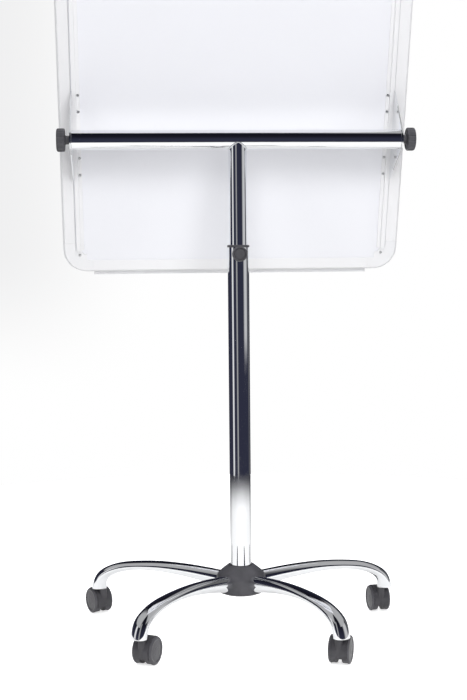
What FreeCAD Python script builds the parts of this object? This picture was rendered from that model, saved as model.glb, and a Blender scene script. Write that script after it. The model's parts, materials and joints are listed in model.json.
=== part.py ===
"""Mobile flipchart easel: a five-star caster base, a telescopic post and a tilting writing board.

Frame: millimetres, +Z up, origin on the floor at the axis of the post. The writing side of the
board faces -Y and the clamp knob of the post faces +Y. Board pieces are drawn in the board's own
frame, whose origin is the tilt axis, with z up the board and -y out of the writing surface.
"""
import FreeCAD, Part
import math
import os
import Sketcher

V = FreeCAD.Vector
LEGS = 5
FLUTES = 12
SIDES = {"left": 1, "right": -1}

doc = FreeCAD.newDocument("flipchart_easel")
sheet = doc.addObject("Spreadsheet::Sheet", "Sizes")

SIZES = {
    # whole object
    "pivot_height": 969.5, "tilt_angle": 18.2, "base_turn": -5.3,
    # base: hub, legs, caster stems
    "core_rad": 30, "core_low": 78, "core_high": 114,
    "cover_rad": 49, "cover_top": 128, "cover_edge": 106.5, "cover_low": 77, "cover_neck": 25,
    "cover_bore": 21.2, "cover_wall": 2.8, "cover_bulge": 0.8, "cover_shoulder": 4,
    "slot_rad": 14.8, "slot_axis_z": 99.5, "plate_low": 71.5, "plate_flat_rad": 39, "plate_bevel": 2,
    "leg_wall": 1.8, "leg_end_z": 55, "stem_circle": 304, "socket_rad": 8, "socket_high": 86,
    "stem_rad": 5, "stem_low": 24, "stem_high": 84, "stem_flange_rad": 7.2, "stem_flange_low": 53.4,
    # post
    "post_rad": 21, "post_wall": 2, "post_low": 78, "post_top": 760.5,
    "collar_rad": 21.9, "collar_high": 4.5, "collar_bevel": 1.2, "collar_depth": 40, "slide_gap": 0.05,
    "inner_rad": 18, "inner_wall": 2, "inner_low": 395,
    "groove_low": 410, "groove_deep": 1, "groove_play": 0.4, "glide_high": 16,
    "clamp_z": 747.5, "boss_rad": 8, "boss_out": 27, "boss_sink": 1.6,
    "stud_rad": 4, "stud_in": 18.6, "stud_hold": 8, "stud_play": 0.6,
    "grip_rad": 15, "grip_in": 27.6, "grip_out": 43, "grip_dish_rad": 10, "grip_dish_deep": 1.6,
    "grip_bevel": 2,
    # crossbar and tilt knobs
    "bar_rad": 19, "bar_wall": 2, "bar_half": 321.5, "plug_deep": 28,
    "tilt_stud_rad": 5, "tilt_stud_deep": 24, "knob_rad": 22.5, "knob_in": 333.5, "knob_out": 350,
    "knob_neck_rad": 8.2, "knob_neck_in": 325, "knob_flare": 2, "knob_bevel": 2.5, "knob_skin": 6,
    "flute_rad": 3.2, "flute_off": 1.6,
    # board
    "board_wide": 700, "board_low": -303, "board_top": 697, "board_back": 94, "board_deep": 18,
    "corner_rad": 48, "corner_leg": 62, "skin": 0.5, "sheet_inset": 3, "face_inset": 8.2,
    "rim_back": 25.5, "rim_front": 8, "rim_side": 3, "rim_flange": 2.1,
    "rim_back_bevel": 4, "rim_front_bevel": 3,
    "rail_in": 314, "rail_out": 322, "rail_deep": 10, "rail_wall": 1.5,
    "rail_foot_in": 307, "rail_foot_high": 3.2,
    "corner_screw_x": 316, "corner_screw_in": 11, "gusset": 38,
    "ear_in": 322, "ear_out": 324.5, "ear_low": -104, "ear_top": 75, "ear_rad": 20, "ear_tab_in": 308,
    "ear_root": 12,
    "screw_rad": 1.75, "screw_head_rad": 2.9, "screw_head_high": 1.8, "screw_line": 310.6,
    "tab_thick": 2, "screw_long": 7,
    # pen tray, paper clamp and pad hooks
    "tray_half": 288, "tray_low": -315, "tray_high": 26, "tray_deep": 62, "tray_wall": 2, "tray_lean": 3,
    "clamp_half": 325, "clamp_low": 622, "clamp_top": 664, "clamp_thick": 7, "clamp_gap": 0.5,
    "clamp_flare": 6, "hinge_z": 672, "hinge_off": 9, "pin_rad": 2.5,
    "lug_thick": 6, "lug_reach": 5, "lug_play": 0.5, "barrel_rad": 4.3,
    "spring_x": 270, "spring_long": 18, "spring_play": 0.4,
    "hook_x": 200, "hook_rad": 3, "hook_slot": 50, "hook_z": 644, "hook_foot": 7, "hook_sink": 5,
    "hook_long": 20, "hook_play": 0.3, "hook_lift": 0.4, "hook_washer": 2, "hook_washer_rim": 4,
    # casters
    "wheel_rad": 26, "drum_rad": 25.1, "wheel_in": 5.4, "wheel_step": 15, "wheel_out": 20,
    "axle_rad": 3, "axle_half": 18.5, "axle_end_play": 0.2, "trail": 20,
    "tread_bevel": 0.8, "face_bevel": 1.2, "face_rim": 4, "face_sink": 0.7,
    "fender_rad": 27.2, "fender_in_rad": 25.5, "fender_half": 14.5, "web_half": 5,
    "hood_top": 53, "hood_boss_rad": 7.6, "hood_low": 14.4, "hood_boss_lift": 4, "nose_high": 42,
    "nose_bevel": 1.5, "stem_play": 0.5, "run_gap": 0.05,
}

# Turn of each caster about its stem, in degrees.
CASTER_TURNS = (262, 297.5, 242.5, 249, 276.5)
SIZES.update({"caster_turn_%d" % k: turn for k, turn in enumerate(CASTER_TURNS, start=1)})

# Oval sections along a leg: reach from the post, height, slope in degrees, depth and width.
LEG_SECTIONS = (
    (24, 92.5, 9, 34, 27), (70, 100, 8.5, 30.5, 28), (120, 106.5, 6, 26, 29), (172, 110, 1, 21.5, 30.5),
    (222, 108.5, -7, 18.5, 32), (260, 102.5, -15, 19.5, 33), (288, 92, -32, 21.5, 33.5),
    (304.5, 79, -54, 24.5, 33.5), (312, 62, -76, 26.5, 33.5), (314, 46, -86, 27, 33.5),
)
SECTION_SIZES = ("reach", "height", "slope", "deep", "wide")
for station, values in enumerate(LEG_SECTIONS, start=1):
    SIZES.update({"leg_%s_%d" % (name, station): value for name, value in zip(SECTION_SIZES, values)})

for row, (alias, value) in enumerate(SIZES.items(), start=1):
    sheet.set("A%d" % row, alias.replace("_", " "))
    sheet.set("B%d" % row, str(value))
    sheet.setAlias("B%d" % row, alias)
doc.recompute()

BRACKET_SCREWS = ["ear_top - 8", "ear_top - 41", "ear_low + 44", "ear_low + 9"]
FRONT = "-(board_back + board_deep)"
HINGE_Y = FRONT + " - hinge_off"
BOARD_FACE = "board_back + rim_flange"
RAIL_FOOT = BOARD_FACE + " - rail_foot_high"
CORNER_SCREWS = ["board_low + corner_rad - corner_screw_in", "board_top - corner_rad + corner_screw_in"]


def size(name):
    """Value of a sheet cell."""
    return float(sheet.get(name))


def expr(text):
    """The same text with every sheet alias qualified by the sheet's name."""
    words = []
    word = ""
    for letter in text + " ":
        if letter.isalnum() or letter == "_":
            word += letter
            continue
        words.append("Sizes." + word if word in SIZES else word)
        words.append(letter)
        word = ""
    return "".join(words).strip()


def number(owner, text):
    value = owner.evalExpression(expr(text))
    return float(getattr(value, "Value", value))


def new_body(label, place=None):
    body = doc.addObject("PartDesign::Body", "Body_" + label)
    body.Label = label
    body.AllowCompound = True
    if place:
        place(body)
    return body


def origin_plane(body, role):
    return [f for f in body.Origin.OriginFeatures if f.Role == role][0]


def new_sketch(body, plane, at="0"):
    """Sketch on one of the body's origin planes, moved along the plane's normal by 'at'.

    The normal is +Z for XY, -Y for XZ and +X for YZ.
    """
    sketch = body.newObject("Sketcher::SketchObject", "Sketch")
    sketch.AttachmentSupport = [(origin_plane(body, plane + "_Plane"), "")]
    sketch.MapMode = "FlatFace"
    sketch.setExpression("AttachmentOffset.Base.z", expr(at))
    return sketch


def bind(sketch, constraint, text):
    index = sketch.addConstraint(constraint)
    sketch.setExpression("Constraints[%d]" % index, expr(text))
    return index


def polygon(sketch, points):
    """Closed outline through points given as pairs of sheet expressions."""
    spots = [(number(sketch, x), number(sketch, y)) for x, y in points]
    count = len(points)
    first = sketch.GeometryCount
    for i, (x, y) in enumerate(spots):
        nx, ny = spots[(i + 1) % count]
        sketch.addGeometry(Part.LineSegment(V(x, y, 0), V(nx, ny, 0)), False)
    for i in range(count):
        sketch.addConstraint(Sketcher.Constraint("Coincident", first + i, 2, first + (i + 1) % count, 1))
    for i, (x, y) in enumerate(points):
        bind(sketch, Sketcher.Constraint("DistanceX", -1, 1, first + i, 1, spots[i][0]), x)
        bind(sketch, Sketcher.Constraint("DistanceY", -1, 1, first + i, 1, spots[i][1]), y)
    return sketch


def rectangle(sketch, x0, y0, x1, y1):
    return polygon(sketch, [(x0, y0), (x1, y0), (x1, y1), (x0, y1)])


def circle(sketch, x, y, radius):
    cx, cy, r = (number(sketch, t) for t in (x, y, radius))
    index = sketch.addGeometry(Part.Circle(V(cx, cy, 0), V(0, 0, 1), r), False)
    bind(sketch, Sketcher.Constraint("Radius", index, r), radius)
    bind(sketch, Sketcher.Constraint("DistanceX", -1, 1, index, 3, cx), x)
    bind(sketch, Sketcher.Constraint("DistanceY", -1, 1, index, 3, cy), y)
    return sketch


def pad(body, sketch, length, midplane=False, reverse=False):
    feature = body.newObject("PartDesign::Pad", "Pad")
    feature.Profile = sketch
    feature.setExpression("Length", expr(length))
    feature.Midplane = midplane
    feature.Reversed = reverse
    doc.recompute()
    return feature


def pocket(body, sketch, length, midplane=False, reverse=False):
    """Cut of the given depth; raises if it removes nothing."""
    before = body.Shape.Volume
    feature = body.newObject("PartDesign::Pocket", "Pocket")
    feature.Profile = sketch
    feature.setExpression("Length", expr(length))
    feature.Midplane = midplane
    feature.Reversed = reverse
    doc.recompute()
    if before - body.Shape.Volume < 1:
        raise RuntimeError("pocket cuts nothing in " + body.Label)
    return feature


def revolve(body, sketch, axis="V_Axis"):
    feature = body.newObject("PartDesign::Revolution", "Revolution")
    feature.Profile = sketch
    feature.ReferenceAxis = (sketch, [axis])
    feature.Angle = 360
    doc.recompute()
    return feature


def polar(body, features, axis, count):
    feature = body.newObject("PartDesign::PolarPattern", "PolarPattern")
    feature.Originals = features
    feature.Axis = (origin_plane(body, axis + "_Axis"), [""])
    feature.Angle = 360
    feature.Occurrences = count
    body.Tip = feature
    doc.recompute()
    return feature


def mirror(body, features, plane):
    feature = body.newObject("PartDesign::Mirrored", "Mirrored")
    feature.Originals = features
    feature.MirrorPlane = (origin_plane(body, plane + "_Plane"), [""])
    body.Tip = feature
    doc.recompute()
    return feature


def round_corners(body, radius):
    """Round the four edges of a flat sheet that run through its thickness."""
    edges = body.Tip.Shape.Edges
    names = ["Edge%d" % (i + 1) for i, edge in enumerate(edges)
             if abs(edge.tangentAt(edge.FirstParameter).y) > 0.99]
    base = body.Tip
    feature = body.newObject("PartDesign::Fillet", "Fillet")
    feature.Base = (base, names)
    feature.setExpression("Radius", expr(radius))
    doc.recompute()
    return feature


def tube(label, radius, wall, low, high, place=None):
    """Round tube along Z."""
    body = new_body(label, place)
    sketch = new_sketch(body, "XY", low)
    circle(sketch, "0", "0", radius)
    circle(sketch, "0", "0", "%s - (%s)" % (radius, wall))
    pad(body, sketch, "%s - (%s)" % (high, low))
    return body


def turned(label, outline, place=None, plane="XZ", axis="V_Axis"):
    """Body of revolution from an outline of (radius, height) expressions."""
    body = new_body(label, place)
    sketch = polygon(new_sketch(body, plane), outline)
    revolve(body, sketch, axis)
    return body


# ---- placements -------------------------------------------------------------------------------

def on_board(body):
    """Board frame: the tilt axis at its height, leaning back by the tilt angle."""
    body.Placement = FreeCAD.Placement(V(0, 0, 0), FreeCAD.Rotation(V(-1, 0, 0), 18.2))
    body.setExpression("Placement.Base.z", expr("pivot_height"))
    body.setExpression("Placement.Rotation.Angle", expr("tilt_angle * 1 deg"))


def leg_angle(k):
    return 270 + 360.0 / LEGS * k


def on_base(turn):
    """Base frame turned by a fixed angle about the post, on top of the turn of the whole base."""
    def place(body):
        body.Placement = FreeCAD.Placement(V(0, 0, 0), FreeCAD.Rotation(V(0, 0, 1), 10))
        body.setExpression("Placement.Rotation.Angle", expr("(%s + base_turn) * 1 deg" % turn))
    return place


def on_caster(k):
    """Caster frame: the stem's axis on the floor, turned so that +X is the way the wheels trail."""
    angle = "(%s + base_turn)" % leg_angle(k)

    def place(body):
        turn = FreeCAD.Rotation(V(0, 0, 1), size("caster_turn_%d" % (k + 1)))
        body.Placement = FreeCAD.Placement(V(0, 0, 0), turn)
        body.setExpression("Placement.Base.x", expr("stem_circle * cos(%s)" % angle))
        body.setExpression("Placement.Base.y", expr("stem_circle * sin(%s)" % angle))
    return place


# ---- base -------------------------------------------------------------------------------------

def hub_core():
    return tube("hub_core", "core_rad", "core_rad - post_rad", "core_low", "core_high", on_base("270"))


def hub_cover():
    """Conical moulded cover with a skirt that fills the gaps between the leg roots."""
    body = turned("hub_cover", [
        ("cover_bore", "cover_top"), ("cover_neck", "cover_top"), ("cover_rad", "cover_edge"),
        ("cover_rad + cover_bulge", "cover_edge - cover_shoulder"), ("cover_rad", "cover_low"),
        ("cover_rad - cover_wall", "cover_low"), ("cover_rad - cover_wall", "cover_edge - cover_shoulder"),
        ("cover_neck - 1", "cover_top - cover_wall"), ("cover_bore", "cover_top - cover_wall")],
        on_base("270"))
    square = new_sketch(body, "YZ", "core_rad / 2")
    rectangle(square, "-slot_rad", "plate_low", "slot_rad", "slot_axis_z")
    slot = pocket(body, square, "cover_rad", reverse=True)
    polar(body, [slot], "Z", LEGS)
    crown = new_sketch(body, "YZ", "core_rad / 2")
    circle(crown, "0", "slot_axis_z", "slot_rad")
    arch = pocket(body, crown, "cover_rad", reverse=True)
    polar(body, [arch], "Z", LEGS)
    return body


def hub_base_plate():
    return turned("hub_base_plate", [
        ("0", "plate_low"), ("plate_flat_rad", "plate_low"),
        ("cover_rad - plate_bevel", "cover_low - plate_bevel"),
        ("cover_rad", "cover_low"), ("0", "cover_low")], on_base("270"))


def oval(centre, slope, deep, wide):
    """Elliptical wire across the leg, in the leg's frame (X outwards, Z up)."""
    upright = V(-math.sin(slope), 0, math.cos(slope))
    across = V(0, 1, 0)
    if deep > wide:
        curve = Part.Ellipse(centre + upright * (deep / 2), centre + across * (wide / 2), centre)
    else:
        curve = Part.Ellipse(centre + across * (wide / 2), centre + upright * (deep / 2), centre)
    return Part.Wire([curve.toShape()])


def leg_shell(thinner):
    """Solid through the leg's oval sections, each reduced by 'thinner' all round."""
    wires = []
    for station in range(1, len(LEG_SECTIONS) + 1):
        reach, height, slope, deep, wide = (size("leg_%s_%d" % (name, station)) for name in SECTION_SIZES)
        wires.append(oval(V(reach, 0, height), math.radians(slope), deep - 2 * thinner, wide - 2 * thinner))
    return Part.makeLoft(wires, True, False)


def leg(k, outer, inner):
    """Hollow arched leg, saddled on the hub core, flat on the base plate and cut level over its caster."""
    tool_core = Part.makeCylinder(size("core_rad"), 200)
    tool_end = Part.makeBox(200, 100, size("leg_end_z"), V(220, -50, 0))
    socket_low = size("leg_end_z") - 5
    tool_socket = Part.makeCylinder(size("socket_rad"), size("socket_high") - socket_low,
                                    V(size("stem_circle"), 0, socket_low))
    tool_plate = Part.makeCylinder(size("cover_rad"), size("cover_low"))
    shape = outer.cut(inner).cut([tool_core, tool_end, tool_socket, tool_plate])
    solids = sorted(shape.Solids, key=lambda s: s.Volume)
    feature = doc.addObject("Part::Feature", "Leg")
    feature.Label = "leg_%d" % (k + 1)
    feature.Shape = solids[-1]
    feature.Placement = FreeCAD.Placement(
        V(0, 0, 0), FreeCAD.Rotation(V(0, 0, 1), leg_angle(k) + size("base_turn")))
    return feature


def caster_sockets():
    body = new_body("caster_sockets", on_base("270"))
    sketch = new_sketch(body, "XY", "leg_end_z")
    circle(sketch, "stem_circle", "0", "socket_rad")
    circle(sketch, "stem_circle", "0", "stem_rad")
    sleeve = pad(body, sketch, "socket_high - leg_end_z")
    polar(body, [sleeve], "Z", LEGS)
    return body


def caster_stems():
    body = new_body("caster_stems", on_base("270"))
    sketch = new_sketch(body, "XY", "stem_low")
    circle(sketch, "stem_circle", "0", "stem_rad")
    rod = pad(body, sketch, "stem_high - stem_low")
    flange = new_sketch(body, "XY", "stem_flange_low")
    circle(flange, "stem_circle", "0", "stem_flange_rad")
    disc = pad(body, flange, "leg_end_z - stem_flange_low")
    polar(body, [rod, disc], "Z", LEGS)
    return body


# ---- post -------------------------------------------------------------------------------------

def lower_post():
    body = tube("lower_post", "post_rad", "post_wall", "post_low", "post_top")
    hole = circle(new_sketch(body, "XZ"), "0", "clamp_z", "stud_rad + stud_play")
    pocket(body, hole, "post_rad * 2", reverse=False)
    return body


def post_collar():
    """Guide bush pressed into the top of the lower post, with a rim over the tube's edge."""
    body = turned("post_collar", [
        ("inner_rad + slide_gap", "post_top - collar_depth"),
        ("post_rad - post_wall", "post_top - collar_depth"), ("post_rad - post_wall", "post_top"),
        ("collar_rad", "post_top"), ("collar_rad", "post_top + collar_high - collar_bevel"),
        ("collar_rad - collar_bevel", "post_top + collar_high"),
        ("inner_rad + slide_gap", "post_top + collar_high")])
    hole = circle(new_sketch(body, "XZ"), "0", "clamp_z", "stud_rad + stud_play")
    pocket(body, hole, "post_rad * 2", reverse=False)
    return body


def clamp_boss():
    """Threaded boss welded on the back of the lower post."""
    body = new_body("clamp_boss")
    sketch = new_sketch(body, "XZ", "-boss_out")
    circle(sketch, "0", "clamp_z", "boss_rad")
    circle(sketch, "0", "clamp_z", "stud_rad + run_gap")
    pad(body, sketch, "boss_out - post_rad + boss_sink")
    saddle = circle(new_sketch(body, "XY", "clamp_z - 20"), "0", "0", "post_rad")
    pocket(body, saddle, "40", reverse=True)
    return body


def clamp_knob():
    """Round grip with a dished face."""
    body = new_body("clamp_knob", on_clamp_axis)
    sketch = polygon(new_sketch(body, "XZ"), [
        ("0", "grip_in"), ("grip_rad - grip_bevel", "grip_in"), ("grip_rad", "grip_in + grip_bevel"),
        ("grip_rad", "grip_out - grip_bevel"), ("grip_rad - grip_bevel", "grip_out"),
        ("grip_dish_rad + grip_dish_deep / 2", "grip_out"),
        ("grip_dish_rad", "grip_out - grip_dish_deep"), ("0", "grip_out - grip_dish_deep")])
    revolve(body, sketch)
    bore = circle(new_sketch(body, "XY", "grip_in"), "0", "0", "stud_rad")
    pocket(body, bore, "stud_hold", reverse=True)
    return body


def on_clamp_axis(body):
    """Frame of the clamp screw: its z axis runs along +Y at the clamp's height."""
    body.Placement = FreeCAD.Placement(V(0, 0, 0), FreeCAD.Rotation(V(1, 0, 0), -90))
    body.setExpression("Placement.Base.z", expr("clamp_z"))


def clamp_stud():
    body = new_body("clamp_stud", on_clamp_axis)
    sketch = circle(new_sketch(body, "XY", "stud_in"), "0", "0", "stud_rad")
    pad(body, sketch, "grip_in + stud_hold - stud_in")
    return body


# ---- head -------------------------------------------------------------------------------------

def glide_ring():
    """Plastic ring in a groove near the foot of the inner post, running in the lower post."""
    return turned("glide_ring", [
        ("inner_rad - groove_deep + slide_gap", "groove_low"),
        ("post_rad - post_wall - slide_gap", "groove_low"),
        ("post_rad - post_wall - slide_gap", "groove_low + glide_high"),
        ("inner_rad - groove_deep + slide_gap", "groove_low + glide_high")])


def upper_post():
    """Inner tube with a groove for the glide ring and its top coped to the crossbar."""
    body = turned("upper_post", [
        ("inner_rad - inner_wall", "inner_low"), ("inner_rad", "inner_low"),
        ("inner_rad", "groove_low - groove_play"), ("inner_rad - groove_deep", "groove_low - groove_play"),
        ("inner_rad - groove_deep", "groove_low + glide_high + groove_play"),
        ("inner_rad", "groove_low + glide_high + groove_play"),
        ("inner_rad", "pivot_height"), ("inner_rad - inner_wall", "pivot_height")])
    cope = circle(new_sketch(body, "YZ"), "0", "pivot_height", "bar_rad")
    pocket(body, cope, "inner_rad * 3", midplane=True)
    return body


def on_pivot(body):
    body.Placement = FreeCAD.Placement(V(0, 0, 0), FreeCAD.Rotation(V(0, 0, 1), 0))
    body.setExpression("Placement.Base.z", expr("pivot_height"))


def crossbar():
    body = new_body("crossbar", on_pivot)
    sketch = new_sketch(body, "YZ")
    circle(sketch, "0", "0", "bar_rad")
    circle(sketch, "0", "0", "bar_rad - bar_wall")
    pad(body, sketch, "bar_half * 2", midplane=True)
    return body


def crossbar_plugs():
    """Threaded plugs in both ends of the crossbar."""
    body = new_body("crossbar_plugs", on_pivot)
    sketch = new_sketch(body, "YZ", "bar_half - plug_deep")
    circle(sketch, "0", "0", "bar_rad - bar_wall")
    circle(sketch, "0", "0", "tilt_stud_rad + run_gap")
    mirror(body, [pad(body, sketch, "plug_deep")], "YZ")
    return body


def on_side(sign):
    """Tilt axis frame whose +X points out of one end of the crossbar."""
    def place(body):
        body.Placement = FreeCAD.Placement(V(0, 0, 0), FreeCAD.Rotation(V(0, 0, 1), 0 if sign > 0 else 180))
        body.setExpression("Placement.Base.z", expr("pivot_height"))
    return place


def tilt_knob(side, sign):
    """Fluted grip with a neck that presses on the bracket."""
    body = new_body("tilt_knob_" + side, on_side(sign))
    sketch = polygon(new_sketch(body, "XY"), [
        ("knob_neck_in", "0"), ("knob_neck_in", "knob_neck_rad"), ("knob_in - knob_flare", "knob_neck_rad"),
        ("knob_in", "knob_neck_rad + knob_flare"), ("knob_in", "knob_rad - knob_bevel / 2"),
        ("knob_in + knob_bevel / 2", "knob_rad"), ("knob_out - knob_bevel", "knob_rad"),
        ("knob_out", "knob_rad - knob_bevel"), ("knob_out", "0")])
    revolve(body, sketch, "H_Axis")
    bore = circle(new_sketch(body, "YZ", "knob_neck_in"), "0", "0", "tilt_stud_rad")
    pocket(body, bore, "knob_out - knob_skin - knob_neck_in", reverse=True)
    flute = circle(new_sketch(body, "YZ", "knob_in - 1"), "0", "knob_rad + flute_off", "flute_rad")
    cut = pocket(body, flute, "knob_out - knob_in - knob_bevel", reverse=True)
    polar(body, [cut], "X", FLUTES)
    return body


def tilt_stud(side, sign):
    body = new_body("tilt_stud_" + side, on_side(sign))
    sketch = circle(new_sketch(body, "YZ", "bar_half - tilt_stud_deep"), "0", "0", "tilt_stud_rad")
    pad(body, sketch, "knob_out - knob_skin - bar_half + tilt_stud_deep")
    return body


# ---- board ------------------------------------------------------------------------------------

def slab(label, near, far, inset, drilled):
    """Flat sheet of the board, inset from its outline, between two depths behind the tilt axis."""
    body = new_body(label, on_board)
    sketch = new_sketch(body, "XZ", near)
    half = "board_wide / 2 - " + inset
    rectangle(sketch, "-(%s)" % half, "board_low + " + inset, half, "board_top - " + inset)
    pad(body, sketch, "%s - (%s)" % (far, near))
    round_corners(body, "corner_rad - " + inset)
    if drilled:
        holes = new_sketch(body, "XZ", "board_back")
        for x, heights in (("corner_screw_x", CORNER_SCREWS), ("screw_line", BRACKET_SCREWS)):
            for z in heights:
                circle(holes, x, z, "screw_rad")
                circle(holes, "-" + x, z, "screw_rad")
        pocket(body, holes, "screw_long", reverse=True)
    return body


def rim_outline(edge, sign):
    """Section of the rim: outer wall, back flange and front lip, from the outer edge inwards."""
    def out(distance):
        return "%s - (%s) * (%s)" % (edge, sign, distance)
    near, far = "-board_back", "-(board_back + board_deep)"
    return [(out("0"), near + " - rim_back_bevel"), (out("rim_back_bevel"), near), (out("rim_back"), near),
            (out("rim_back"), near + " - rim_flange"), (out("rim_side"), near + " - rim_flange"),
            (out("rim_side"), far + " + rim_flange"), (out("rim_front"), far + " + rim_flange"),
            (out("rim_front"), far), (out("rim_side"), far), (out("0"), far + " + rim_front_bevel")]


def frame_profiles():
    """Four extruded edge profiles between the corner pieces."""
    body = new_body("frame_profiles", on_board)
    for edge, sign in (("board_low", "-1"), ("board_top", "1")):
        level = new_sketch(body, "YZ", "corner_leg - board_wide / 2")
        polygon(level, [(y, z) for z, y in rim_outline(edge, sign)])
        pad(body, level, "board_wide - corner_leg * 2")
    for edge, sign in (("-board_wide / 2", "-1"), ("board_wide / 2", "1")):
        upright = polygon(new_sketch(body, "XY", "board_low + corner_leg"), rim_outline(edge, sign))
        pad(body, upright, "board_top - board_low - corner_leg * 2")
    return body


def corner_caps():
    """Moulded corners that follow the round outline of the board."""
    shapes = []
    half, low, top = size("board_wide") / 2, size("board_low"), size("board_top")
    reach, radius = size("corner_leg"), size("corner_rad")
    back, deep = size("board_back"), size("board_deep")
    flange, side, front = size("rim_flange"), size("rim_side"), size("rim_front")
    bevel = size("rim_back_bevel")
    section = [(0, bevel), (bevel, 0), (size("rim_back"), 0), (size("rim_back"), flange), (side, flange),
               (side, deep - flange), (front, deep - flange), (front, deep), (side, deep),
               (0, deep - size("rim_front_bevel"))]
    wide = [(size("gusset"), b) if a == size("rim_back") else (a, b) for a, b in section]
    for sx in (1, -1):
        for edge, sz in ((low, 1), (top, -1)):
            cx, cz = sx * (half - radius), edge + sz * radius
            bend = Part.Face(Part.makePolygon(
                [V(cx + sx * (radius - a), -back - b, cz) for a, b in wide + wide[:1]]))
            turn = bend.revolve(V(cx, 0, cz), V(0, 1, 0), 90 * sx * sz)
            edge_on = Part.Face(Part.makePolygon(
                [V(cx + sx * (radius - a), -back - b, cz) for a, b in section + section[:1]]))
            upright = edge_on.extrude(V(0, 0, sz * (reach - radius)))
            level = Part.Face(Part.makePolygon(
                [V(cx, -back - b, edge + sz * a) for a, b in section + section[:1]]))
            foot = level.extrude(V(-sx * (reach - radius), 0, 0))
            drill = Part.makeCylinder(size("screw_rad"), size("screw_long") + 2, V(
                sx * size("corner_screw_x"), 1 - back, cz - sz * size("corner_screw_in")), V(0, -1, 0))
            shapes.append(turn.fuse([upright, foot]).removeSplitter().cut(drill).Solids[0])
    feature = doc.addObject("Part::Feature", "Corners")
    feature.Label = "corner_caps"
    feature.Shape = Part.Compound(shapes)
    feature.Placement = FreeCAD.Placement(
        V(0, 0, size("pivot_height")), FreeCAD.Rotation(V(-1, 0, 0), size("tilt_angle")))
    return feature


def rail(side, sign):
    """Ridge with a flat foot that stiffens the back, recessed underneath for the bracket's tab."""
    body = new_body("rail_" + side, on_board)
    far = "-(%s)" % BOARD_FACE
    near, step, inside = far + " + rail_deep", far + " + rail_foot_high", far + " + rail_deep - rail_wall"
    section = [("rail_out", far), ("rail_out", near), ("rail_in", near), ("rail_in", step),
               ("rail_foot_in", step), ("rail_foot_in", far), ("(rail_in + rail_wall)", far),
               ("(rail_in + rail_wall)", inside), ("(rail_out - rail_wall)", inside),
               ("(rail_out - rail_wall)", far)]
    sketch = polygon(new_sketch(body, "XY", "board_low + corner_rad"),
                     [("%d * %s" % (sign, x), y) for x, y in section])
    pad(body, sketch, "board_top - board_low - corner_rad * 2")
    recess = rectangle(new_sketch(body, "XY", "ear_low"), "%d * ear_tab_in" % sign, far + " - 1",
                       "%d * (rail_out + 1)" % sign, far + " + tab_thick")
    pocket(body, recess, "ear_top - ear_low", reverse=True)
    holes = new_sketch(body, "XZ", RAIL_FOOT)
    for z in BRACKET_SCREWS:
        circle(holes, "%d * screw_line" % sign, z, "screw_rad")
    pocket(body, holes, "rail_foot_high * 4", midplane=True)
    return body


def bracket(side, sign):
    """Triangular ear on the tilt stud, folded to a tab under the rail."""
    body = new_body("bracket_" + side, on_board)
    inner_face = "ear_in" if sign > 0 else "-ear_out"
    ear = new_sketch(body, "YZ", inner_face)
    root = "-(%s)" % BOARD_FACE
    polygon(ear, [(root, "ear_low"), (root, "ear_top"), (root + " + ear_root", "ear_top"),
                  ("ear_rad * sin(31)", "ear_rad * cos(31)"), ("ear_rad * sin(48)", "-ear_rad * cos(48)"),
                  (root + " + ear_root", "ear_low")])
    pad(body, ear, "ear_out - ear_in")
    eye = circle(new_sketch(body, "YZ", inner_face), "0", "0", "ear_rad")
    pad(body, eye, "ear_out - ear_in")
    tab = new_sketch(body, "XZ", BOARD_FACE)
    rectangle(tab, "%d * ear_tab_in" % sign, "ear_low", "%d * ear_in" % sign, "ear_top")
    pad(body, tab, "tab_thick", reverse=True)
    bore = circle(new_sketch(body, "YZ"), "0", "0", "tilt_stud_rad + run_gap")
    pocket(body, bore, "ear_out * 4", midplane=True)
    holes = new_sketch(body, "XZ", BOARD_FACE)
    for z in BRACKET_SCREWS:
        circle(holes, "%d * screw_line" % sign, z, "screw_rad")
    pocket(body, holes, "20", midplane=True)
    return body


def board_screws():
    """Pan-head screws of the four corners and both brackets."""
    body = new_body("board_screws", on_board)
    rows = [("corner_screw_x", CORNER_SCREWS, "board_back"),
            ("screw_line", BRACKET_SCREWS, RAIL_FOOT)]
    features = []
    for x, heights, face in rows:
        shank = new_sketch(body, "XZ", face)
        head = new_sketch(body, "XZ", face)
        for z in heights:
            circle(shank, x, z, "screw_rad")
            circle(head, x, z, "screw_head_rad")
        features.append(pad(body, shank, "screw_long"))
        features.append(pad(body, head, "screw_head_high", reverse=True))
    mirror(body, features, "YZ")
    return body


# ---- pen tray, paper clamp, pad hooks ---------------------------------------------------------

def pen_tray():
    """Open moulded trough with closed ends along the foot of the writing side."""
    body = new_body("pen_tray", on_board)
    lip = FRONT + " - tray_deep"
    sketch = polygon(new_sketch(body, "YZ", "-tray_half"), [
        (FRONT, "tray_low + tray_high"), (FRONT, "tray_low"), (lip, "tray_low"),
        (lip + " - tray_lean", "tray_low + tray_high * 0.6"),
        (FRONT + " - tray_deep * 0.4", "tray_low + tray_high")])
    pad(body, sketch, "tray_half * 2")
    above = "tray_low + tray_high + 1"
    trough = polygon(new_sketch(body, "YZ", "tray_wall - tray_half"), [
        (FRONT + " - tray_wall", above), (FRONT + " - tray_wall", "tray_low + tray_wall"),
        (lip + " + tray_wall", "tray_low + tray_wall"), (lip + " - tray_lean + tray_wall", above)])
    pocket(body, trough, "(tray_half - tray_wall) * 2", reverse=True)
    return body


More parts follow.
